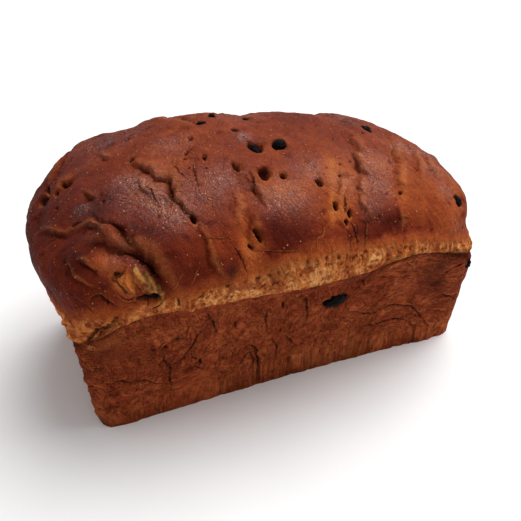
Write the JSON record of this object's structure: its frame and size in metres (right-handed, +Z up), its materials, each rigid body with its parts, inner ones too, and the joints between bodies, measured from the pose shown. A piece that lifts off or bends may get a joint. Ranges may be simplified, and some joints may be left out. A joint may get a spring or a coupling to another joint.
{
  "type": "tin loaf",
  "caption": "Raisin tin loaf: a tapered base shaped by its tin, a pale torn band at the rim and a dark, folded, domed crown set with raisins.",
  "frame": {"origin": "middle of the flat base that the loaf stands on", "axes": "+X along the loaf towards its lower right end, +Y to the back, +Z up"},
  "size_m": [0.2456, 0.1444, 0.14],
  "materials": {
    "crust": "glazed dark brown crust, duller on the tin's walls and pale where it tore",
    "raisin": "wrinkled, satin black"
  },
  "bodies": {
    "root": {"loaf": "crust", "raisin_1": "raisin", "raisin_2": "raisin", "raisin_3": "raisin", "raisin_4": "raisin", "raisin_5": "raisin", "raisin_6": "raisin", "raisin_7": "raisin", "raisin_8": "raisin", "raisin_9": "raisin", "raisin_10": "raisin", "raisin_11": "raisin", "raisin_12": "raisin", "raisin_13": "raisin", "raisin_14": "raisin", "raisin_15": "raisin", "raisin_16": "raisin", "raisin_17": "raisin", "raisin_18": "raisin"}
  },
  "joints": []
}
